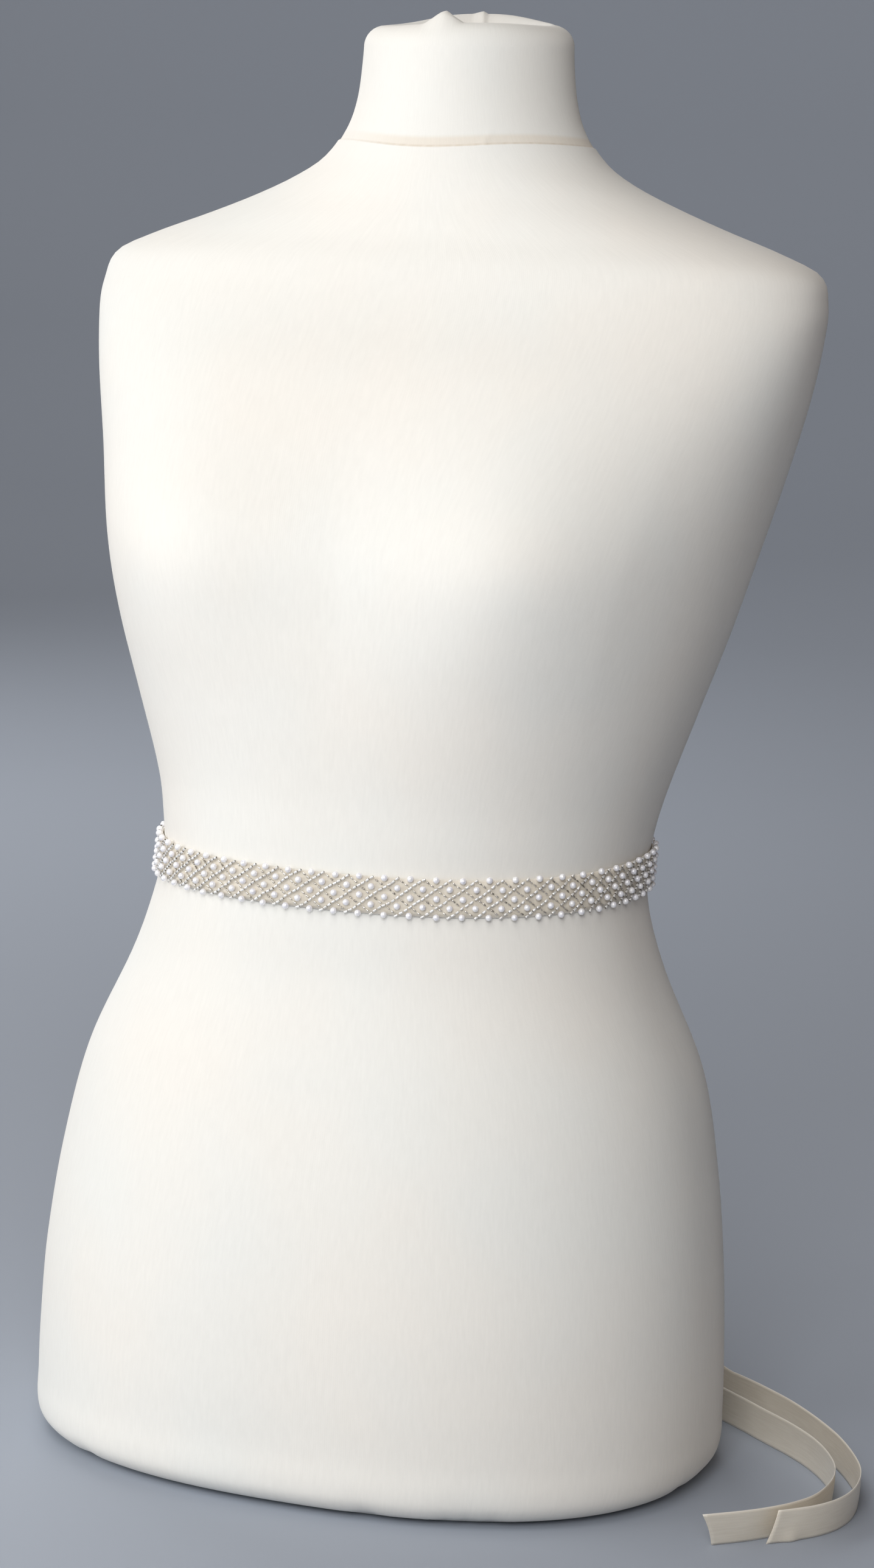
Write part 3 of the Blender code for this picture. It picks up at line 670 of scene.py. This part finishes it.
def build_jersey_cover():
    """The whole jersey in one closed skin: a ring drawn upward row by row, then shaped."""
    rows = cover_rows()
    bm = bmesh.new()
    bmesh.ops.create_circle(bm, segments=COVER_POINTS, radius=1.0)
    edges = bm.edges[:]
    for _ in rows[1:]:
        drawn = bmesh.ops.extrude_edge_only(bm, edges=edges)["geom"]
        new_verts = {item for item in drawn if isinstance(item, bmesh.types.BMVert)}
        edges = [item for item in drawn if isinstance(item, bmesh.types.BMEdge)
                 and new_verts.issuperset(item.verts)]
        bmesh.ops.translate(bm, vec=(0, 0, 1), verts=list(new_verts))
    cloth = bm.loops.layers.uv.new("cloth")
    band = bm.verts.layers.float.new("hem_band")
    line = bm.verts.layers.float.new("hem_step_shade")
    for face in bm.faces:
        turns = [math.atan2(loop.vert.co.y, loop.vert.co.x) / math.tau for loop in face.loops]
        for loop, turn in zip(face.loops, turns):
            kind, value = rows[round(loop.vert.co.z)]
            run = {"base": -0.1 * (1 - value), "side": value,
                   "edge": NECK_TOP + 0.015 * value, "top": NECK_TOP + 0.015 + 0.045 * (1 - value)}[kind]
            loop[cloth].uv = (turn + 1 if max(turns) - turn > 0.5 else turn, run)
    for vert in bm.verts:
        kind, value = rows[round(vert.co.z)]
        angle = math.atan2(vert.co.y, vert.co.x)
        if kind == "side" and HEM_HEIGHT <= value + HEM_FINE / 2:
            # painted light: the warm band and the shade line fade out towards the window side, as if washed
            # out by its light
            window_side_fade = 0.25 + 0.75 * gentle_step((math.degrees(angle) + 138) / 40)
            vert[band] = gentle_step((HEM_HEIGHT + HEM_BAND - value) / 0.0022) * window_side_fade
            # painted shade along the hem's step, broken up unevenly along its length
            shade_unevenness = 0.5 + 0.5 * math.sin(angle * 97) * math.sin(angle * 41 + 1)
            on_line = hill(value - HEM_HEIGHT - HEM_FINE / 2, HEM_FINE * 0.6)
            vert[line] = on_line * (0.3 + 0.7 * shade_unevenness) * window_side_fade
        vert.co = cover_point(angle, kind, value)
    ends = sorted(bm.verts, key=lambda vert: vert.index)
    for ring in (ends[:COVER_POINTS], ends[-COVER_POINTS:]):
        middle = sum((vert.co for vert in ring), Vector()) / COVER_POINTS
        bmesh.ops.pointmerge(bm, verts=ring, merge_co=middle)
    return finish_piece(bm, "jersey_cover", jersey, 60)


def finish_piece(bm, name, surface, sharp_degrees=None):
    """Turn a bmesh into a smooth shaded piece with its faces pointing out."""
    bmesh.ops.recalc_face_normals(bm, faces=bm.faces)
    mesh = bpy.data.meshes.new(name)
    bm.to_mesh(mesh)
    bm.free()
    mesh.materials.append(surface)
    mesh.shade_smooth()
    if sharp_degrees:
        mesh.set_sharp_from_angle(angle=math.radians(sharp_degrees))
    made = bpy.data.objects.new(name, mesh)
    bpy.context.scene.collection.objects.link(made)
    return made


class WaistLine:
    """The line of the ribbon round the waist, read by the distance from the centre front."""

    SAMPLES = 1440

    def __init__(self):
        self.angles = []
        self.places = []
        self.frames = {}
        walked = 0.0
        last = None
        for i in range(self.SAMPLES + 1):
            angle = -math.pi / 2 + 2 * math.pi * i / self.SAMPLES
            point = self.skin(angle, 0.0)
            if last is not None:
                walked += (point - last).length
            self.angles.append(angle)
            self.places.append(walked)
            last = point
        self.length = walked

    def skin(self, angle, across):
        """The form's skin at a distance up the ribbon from its middle line."""
        y = BELT_CENTRE
        for _ in range(3):
            height = BELT_HEIGHT + BELT_SLOPE * (y - BELT_CENTRE) + across
            point = form_point(angle, height)
            y = point.y
        return point

    def angle_at(self, distance):
        distance %= self.length
        high = next(i for i, place in enumerate(self.places) if place >= distance)
        low = max(high - 1, 0)
        span = self.places[high] - self.places[low]
        share = (distance - self.places[low]) / span if span else 0.0
        return self.angles[low] + share * (self.angles[high] - self.angles[low])

    def frame(self, distance):
        """Lower point, upper point and outward direction of the ribbon's line."""
        if distance not in self.frames:
            angle = self.angle_at(distance)
            half = RIBBON_WIDTH / 2
            low, high = self.skin(angle, -half), self.skin(angle, half)
            ahead = self.skin(angle + 0.01, 0.0) - self.skin(angle - 0.01, 0.0)
            self.frames[distance] = (low, high, ahead.cross(high - low).normalized())
        return self.frames[distance]

    def point(self, distance, across, lift):
        """The place of (along, across, out) when the flat strip is bent round the waist."""
        low, high, out = self.frame(distance)
        share = across / RIBBON_WIDTH + 0.5
        return low.lerp(high, share) + out * lift


def ribbon_grid(columns, rows, place, name):
    """A satin piece: a flat grid whose points are placed by (column, row) shares, with a thickness.
    place gives the point and the flat position of a share along and a share across."""
    bm = bmesh.new()
    bmesh.ops.create_grid(bm, x_segments=columns, y_segments=rows, size=0.5)
    cloth = bm.loops.layers.uv.new("cloth")
    placed = {vert: place(vert.co.x + 0.5, vert.co.y + 0.5) for vert in bm.verts}
    for face in bm.faces:
        for loop in face.loops:
            loop[cloth].uv = placed[loop.vert][1]
    for vert in bm.verts:
        vert.co = placed[vert][0]
    piece = finish_piece(bm, name, satin)
    wall = piece.modifiers.new("cloth", "SOLIDIFY")
    wall.thickness = RIBBON_CLOTH
    wall.offset = 0.0
    return piece


def build_ribbon_stretch(waist, name, start, end):
    """One stretch of the ribbon round the waist, very slightly uneven."""
    columns = max(8, round(abs(end - start) / 0.002))

    def place(along, across):
        distance = start + (end - start) * along
        v = (across - 0.5) * RIBBON_WIDTH
        ripple = 0.00010 * math.sin(distance * 210) + 0.00008 * math.sin(distance * 530 + across * 3)
        return waist.point(distance, v, RIBBON_LIFT - RIBBON_CLOTH / 2 + ripple), (distance, v)

    return ribbon_grid(columns, 6, place, name)


def back_of_form(side, height, lift):
    """A point at a sideways place and height on the form's back, lifted straight off it."""
    low, high = 0.0, math.pi / 2
    for _ in range(40):
        angle = (low + high) / 2 if side >= 0 else math.pi - (low + high) / 2
        if abs(form_point(angle, height).x) > abs(side):
            low = (low + high) / 2
        else:
            high = (low + high) / 2
    point = form_point(angle, height)
    out = form_normal(angle, height)
    out.z = 0.0
    return point + out.normalized() * lift


def even_steps(start, end, longest):
    count = max(1, math.ceil(abs(end - start) / longest))
    return [start + (end - start) * i / count for i in range(count + 1)]


def tail_route(tail, top):
    """The middle line of one tail, as a smooth curve read at even steps, with the distance walked."""
    rough = [back_of_form(side, min(height, top), lift) for side, height, lift in tail["drop"]]
    rough += [Vector(row) for row in tail["fall"]]
    rough += [Vector((x, y, RIBBON_WIDTH / 2)) for x, y in tail["run"]]
    walked = [0.0]
    for first, second in zip(rough, rough[1:]):
        walked.append(walked[-1] + (second - first).length)
    rows = [(place, *point) for place, point in zip(walked, rough)]
    coarse = [(place, *smooth_between(rows, 0, place)[1:])
              for place in even_steps(0.0, walked[-1], TAIL_STEP)]
    coarse = [(place, x, y, max(z, RIBBON_WIDTH / 2)) for place, x, y, z in coarse]
    route = []
    for place in even_steps(0.0, walked[-1], TAIL_FINE_STEP):
        _, x, y, z = smooth_between(coarse, 0, place)
        route.append(Vector((x, y, max(z, RIBBON_WIDTH / 2))))
    return route


def tail_sections(tail, top):
    """Middle, across and out directions, share of the width and slant at each step of a tail."""
    route = tail_route(tail, top)
    walked = 0.0
    sections = []
    for i, point in enumerate(route):
        ahead = route[min(i + 2, len(route) - 1)] - route[max(i - 2, 0)]
        ahead.normalize()
        if i:
            walked += (point - route[i - 1]).length
        turned = 1 - min(max(point.z / TAIL_TURN_FROM, 0.0), 1.0)
        turned = min(1.0, turned * 1.15)
        turned = turned * turned * (3 - 2 * turned)
        hint = Vector((math.cos(turned * math.pi / 2), 0.0, math.sin(turned * math.pi / 2)))
        level = gentle_step(walked / 0.010)
        across = (hint - ahead * (hint.dot(ahead) * level)).normalized()
        lean = math.radians(tail["lean"]) * min(max((LEAN_FROM - point.y) / LEAN_LENGTH, 0.0), 1.0)
        across = across * math.cos(lean) - ahead.cross(across) * math.sin(lean)
        sink = RIBBON_WIDTH / 2 * (1 - math.cos(lean)) - RIBBON_CLOTH / 2 * math.sin(lean)
        pinch = TAIL_PINCH + (1 - TAIL_PINCH) * min(walked / TAIL_PINCH_LENGTH, 1.0)
        middle = point - Vector((0.0, 0.0, sink))
        sections.append((walked, middle, across, ahead.cross(across).normalized(), ahead, pinch))
    return sections


def build_tail(name, tail, top):
    """A tail of the ribbon: gathered under the knot, bent softly, and cut on a slant at its end."""
    sections = tail_sections(tail, top)
    length = sections[-1][0]
    last = len(sections) - 1

    def place(along, across):
        index = along * last
        low = min(int(index), last - 1)
        share = index - low
        mixed = [a * (1 - share) + b * share if isinstance(a, float) else a.lerp(b, share)
                 for a, b in zip(sections[low], sections[low + 1])]
        walked, middle, side, out, ahead, pinch = mixed
        v = (across - 0.5) * 2
        near_end = gentle_step(1 - (length - walked) / 0.012)
        end = ahead * (tail["slant"] * v - tail["hollow_end"] * (1 - v * v)) * near_end
        gathers = 0.0011 * (1 - pinch) * math.cos(v * 8.5 + 0.6)
        bends = 0.0
        for spot, depth, half in TAIL_BENDS:
            bends += depth * hill(walked - spot - v * 0.004, half)
        bends *= gentle_step(walked / 0.03) * gentle_step((length - walked) / 0.03)
        dent = tail["end_dent"] * hill(length - walked - 0.0115, 0.004) * hill(v + 1, 0.7)
        curl = 0.00035 * v * v * gentle_step(walked / 0.05)
        offset = gathers + bends * (0.25 if middle.z < RIBBON_WIDTH else 1.0) - dent + curl
        spot = middle + side * (RIBBON_WIDTH / 2 * pinch * v) + out * offset + end
        spot.z = max(spot.z, RIBBON_CLOTH / 2)
        return spot, (walked, v * RIBBON_WIDTH / 2)

    return ribbon_grid(last, TAIL_ACROSS, place, name), length


def build_knot(waist):
    """The ribbon tied over itself: a soft rounded block with a band across and folds beside it."""
    middle = waist.point(waist.length / 2, 0.0, 2 * KNOT_GAP + KNOT_DEPTH / 2)
    bm = bmesh.new()
    bmesh.ops.create_cube(bm, size=2.0)
    bmesh.ops.subdivide_edges(bm, edges=bm.edges[:], cuts=15, use_grid_fill=True)
    cloth = bm.loops.layers.uv.new("cloth")
    for vert in bm.verts:
        x, y, z = vert.co
        size = (abs(x) ** 3.2 + abs(y) ** 3.2 + abs(z) ** 3.2) ** (1 / 3.2)
        spread = vert.co / size
        across = spread.x * 0.92 + spread.z * 0.38
        band = gentle_step((0.50 - abs(across)) / 0.08)
        folds = sum(depth * hill(spread.z - spread.x * slope - shift, 0.10)
                    for depth, slope, shift in ((0.05, 0.5, 0.42), (0.06, -0.35, 0.02), (0.05, 0.3, -0.45)))
        waisted = 1 - 0.10 * (1 - abs(spread.x)) - folds * (1 - band) + 0.07 * band
        narrow = 0.8 if spread.z < -0.3 else 0.9 + 0.1 * gentle_step((spread.z + 0.3) / 0.6)
        vert.co = Vector((spread.x * KNOT_WIDTH / 2 * narrow * 0.98,
                          spread.y * KNOT_DEPTH / 2 * waisted * 0.97,
                          spread.z * KNOT_TALL / 2 * 0.97 * (0.95 + 0.05 * band)))
    for face in bm.faces:
        for loop in face.loops:
            loop[cloth].uv = (loop.vert.co.z + loop.vert.co.y, loop.vert.co.x * 0.8)
    bmesh.ops.smooth_vert(bm, verts=bm.verts, factor=0.4,
                          use_axis_x=True, use_axis_y=True, use_axis_z=True)
    bmesh.ops.translate(bm, vec=middle, verts=bm.verts)
    return finish_piece(bm, "satin_knot", satin)


def copies_of(shape, places):
    """Many copies of a small shape in one bmesh, each set in its place."""
    bm = bmesh.new()
    for place in places:
        copy = shape.copy()
        copy.transform(place)
        bm.from_mesh(copy)
        bpy.data.meshes.remove(copy)
    return bm


def small_shape(name, bm):
    """A mesh that is only copied, never shown."""
    mesh = bpy.data.meshes.new(name)
    bm.to_mesh(mesh)
    bm.free()
    return mesh


def build_pearls(waist, jitter):
    """All the pearls of the strip, resting on the ribbon."""
    one = bmesh.new()
    bmesh.ops.create_uvsphere(one, u_segments=12, v_segments=7, radius=1.0)
    one = small_shape("one_pearl", one)
    places = []
    ends = 2 * PITCHES_EACH_SIDE
    for row in range(-OUTER_ROW, OUTER_ROW + 1):
        for column in range(-ends + 1, ends):
            if (column + row) % 2:
                u = column * PEARL_PITCH / 2 + jitter.uniform(-0.00025, 0.00025)
                v = row * PEARL_ROW_STEP + jitter.uniform(-0.0002, 0.0002)
                radius = PEARL_RADIUS * jitter.uniform(0.96, 1.02)
                centre = waist.point(u, v, RIBBON_LIFT + radius + 0.0001)
                turn = Matrix.Rotation(jitter.uniform(0, math.tau), 4, "X")
                places.append(Matrix.Translation(centre) @ turn @ Matrix.Scale(radius, 4))
    return finish_piece(copies_of(one, places), "pearls", pearl)


def lattice_crossings(jitter):
    """Where the strings cross: each place strays a little, and those at the ends and edges less."""
    ends = 2 * PITCHES_EACH_SIDE
    crossings = {}
    for column in range(-ends, ends + 1):
        for row in range(-OUTER_ROW, OUTER_ROW + 1):
            if (column + row) % 2 == 0:
                stray = STRAY * (0.5 if abs(row) == OUTER_ROW or abs(column) == ends else 1.0)
                crossings[column, row] = (column * PEARL_PITCH / 2 + jitter.uniform(-stray, stray),
                                          row * PEARL_ROW_STEP + jitter.uniform(-stray, stray) * 0.8)
    return crossings


def lattice_edges():
    """Every edge of the lattice: its first crossing, and whether it rises to the right."""
    ends = 2 * PITCHES_EACH_SIDE
    for column in range(-ends, ends):
        for row in range(-OUTER_ROW, OUTER_ROW + 1):
            if (column + row) % 2 == 0:
                if row < OUTER_ROW:
                    yield column, row, True
                if row > -OUTER_ROW:
                    yield column, row, False


def build_bead_strings(waist, jitter):
    """The strings of small silver lined beads, and the thread that carries them."""
    one_bead = small_shape("one_bead", rod_shape(8, 0.14))
    one_thread = small_shape("one_thread", rod_shape(5, 0.0))
    bead_places = {True: [], False: []}
    thread_places = []
    crossings = lattice_crossings(jitter)

    def set_bead(kind, rising, centre, ahead):
        length, radius = kind
        ahead = ahead.normalized() + Vector([jitter.uniform(-0.10, 0.10) for _ in range(3)])
        half = ahead.normalized() * length / 2 * jitter.uniform(0.93, 1.03)
        place = rod_place(centre - half, centre + half, radius * jitter.uniform(0.93, 1.06),
                          jitter.uniform(0, math.tau))
        bead_places[rising].append(place)

    for column, row, rising in lattice_edges():
        start, end = crossings[column, row], crossings[column + 1, row + (1 if rising else -1)]
        bow = jitter.uniform(-0.00040, 0.00040)
        base = RIBBON_LIFT + (UPPER_LIFT if rising else LOWER_LIFT)

        def on_string(share):
            u = start[0] + (end[0] - start[0]) * share
            v = start[1] + (end[1] - start[1]) * share + bow * math.sin(math.pi * share)
            near = 1 - math.sin(math.pi * share)
            rise = 0.00025 * near if rising else -0.00002
            return waist.point(u, v, base + rise)

        knots = [on_string(share) for share in (0.0, 0.5, 1.0)]
        for first, second in zip(knots, knots[1:]):
            thread_places.append(rod_place(first, second, THREAD_RADIUS, 0.0))
        for share in BEAD_PLACES:
            share += jitter.uniform(-0.02, 0.02)
            ahead = on_string(share + 0.05) - on_string(share - 0.05)
            set_bead(UPPER_BEAD if rising else LOWER_BEAD, rising, on_string(share), ahead)
        if rising:
            set_bead(CROSSING_BEAD, True, on_string(0.0), on_string(0.1) - on_string(0.0))
        if rising and row + 1 == OUTER_ROW:
            set_bead(CROSSING_BEAD, True, on_string(1.0), on_string(1.0) - on_string(0.9))
    # the beads on the lower strings take the darker glass, which is painted shade
    return (finish_piece(copies_of(one_bead, bead_places[True]), "beads_above", silver_glass, 50),
            finish_piece(copies_of(one_bead, bead_places[False]), "beads_below", shaded_copy_glass, 50),
            finish_piece(copies_of(one_thread, thread_places), "bead_threads", thread))


def rod_shape(sides, round_over):
    """A closed upright rod, one unit in radius and in length, with its rims rounded over."""
    bm = bmesh.new()
    bmesh.ops.create_cone(bm, cap_ends=True, segments=sides, radius1=1.0, radius2=1.0, depth=1.0)
    if round_over:
        rims = [edge for edge in bm.edges if any(len(face.verts) == sides for face in edge.link_faces)]
        bmesh.ops.scale(bm, vec=(1, 1, 3), verts=bm.verts)
        bmesh.ops.bevel(bm, geom=rims, offset=round_over, segments=1, profile=0.5, affect="EDGES",
                        material=-1)
        bmesh.ops.scale(bm, vec=(1, 1, 1 / 3), verts=bm.verts)
    # marks the end caps, which take painted shade for the bead's hole
    hole = bm.faces.layers.float.new("bead_end")
    for face in bm.faces:
        face[hole] = 1.0 if len(face.verts) == sides else 0.0
    return bm


def rod_place(start, end, radius, turn):
    """The place, turn and size of a rod from one point to another."""
    run = end - start
    return (Matrix.Translation((start + end) / 2) @ run.to_track_quat("Z", "Y").to_matrix().to_4x4()
            @ Matrix.Rotation(turn, 4, "Z") @ Matrix.Diagonal((radius, radius, run.length, 1.0)))


def build_studio():
    """A pale floor that curves up into a wall all round."""
    bm = bmesh.new()
    path = [bm.verts.new((reach, 0.0, height)) for reach, height in ((0.0, 0.0), *PAPER_SECTION)]
    edges = [bm.edges.new(pair) for pair in zip(path, path[1:])]
    bmesh.ops.spin(bm, geom=path + edges, cent=(0, 0, 0), axis=(0, 0, 1), angle=math.tau, steps=48,
                   use_merge=True)
    bmesh.ops.remove_doubles(bm, verts=bm.verts, dist=0.0001)
    bmesh.ops.recalc_face_normals(bm, faces=bm.faces)
    bmesh.ops.reverse_faces(bm, faces=bm.faces)
    mesh = bpy.data.meshes.new("studio")
    bm.to_mesh(mesh)
    bm.free()
    mesh.materials.append(make_backdrop_paper())
    mesh.shade_smooth()
    studio = bpy.data.objects.new("studio", mesh)
    bpy.context.scene.collection.objects.link(studio)


def add_light(name, place, target, size, power, colour):
    lamp = bpy.data.lights.new(name, "AREA")
    lamp.shape = "RECTANGLE"
    lamp.size, lamp.size_y = size
    lamp.energy = power
    lamp.color = hex_colour(colour)[:3]
    made = bpy.data.objects.new(name, lamp)
    aim = (Vector(target) - Vector(place)).to_track_quat("-Z", "Y").to_matrix().to_4x4()
    made.matrix_world = Matrix.Translation(place) @ aim
    bpy.context.scene.collection.objects.link(made)


def light_studio():
    """A large soft window on the form's right side, softer light from in front, above and behind,
    and the paper lit all round."""
    for lamp in LAMPS:
        add_light(*lamp)
    for name, turn, power, colour in PAPER_LAMPS:
        away = Vector((math.cos(math.radians(turn)), math.sin(math.radians(turn)), 0.0))
        place, target = (away * reach + Vector((0, 0, height))
                         for reach, height in (PAPER_LAMP_FROM, PAPER_LAMP_TO))
        add_light(name, place, target, (4.0, 1.2), power, colour)
    world = bpy.data.worlds.new("studio_air")
    world.use_nodes = True
    world.node_tree.nodes["Background"].inputs["Color"].default_value = hex_colour("#FFD2A8")
    world.node_tree.nodes["Background"].inputs["Strength"].default_value = 0.06
    bpy.context.scene.world = world
    bpy.context.scene.view_settings.view_transform = "Standard"


def settle(piece, slot, *nodes):
    """A piece rides with the part, and stands for solids, which are hidden. The slot is not used."""
    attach(piece, "root")
    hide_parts(*nodes)


make_camera()
light_studio()
build_studio()
jersey = make_jersey()
satin = make_satin()
pearl = make_pearl()
silver_glass = make_lined_glass("glass_silver_lined", "#FCFBF8", "#E2DED7", 0.35, 0.32)
# the same lined glass, darkened as painted shade for the beads that lie low on the lower strings
shaded_copy_glass = make_lined_glass("glass_lined_shaded", "#EBE6DD", "#857D70", 0.8, 0.20)
thread = make_thread()

waist = WaistLine()
beaded_half = PITCHES_EACH_SIDE * PEARL_PITCH
knot_side = waist.length / 2 - KNOT_WIDTH / 2 - KNOT_GAP
knot_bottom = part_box("ribbon_knot")[0].z - KNOT_GAP

cover = build_jersey_cover()
settle(cover, "jersey", "dress_form")

for name, node, start, end in (
        ("satin_front", "ribbon_front", -beaded_half, beaded_half),
        ("satin_back_left", "ribbon_back_left", beaded_half, knot_side),
        ("satin_back_right", "ribbon_back_right", -knot_side, -beaded_half)):
    stretch = build_ribbon_stretch(waist, name, start, end)
    settle(stretch, "satin", node)

knot = build_knot(waist)
settle(knot, "satin", "ribbon_knot")

for name, tail in TAILS.items():
    piece, length = build_tail("satin_" + name, tail, knot_bottom)
    settle(piece, "satin", "ribbon_" + name)

jitter = random.Random(24)
pearls = build_pearls(waist, jitter)
settle(pearls, "beadwork", "beaded_strip")
for piece in build_bead_strings(waist, jitter):
    settle(piece, "beadwork", "beaded_strip")
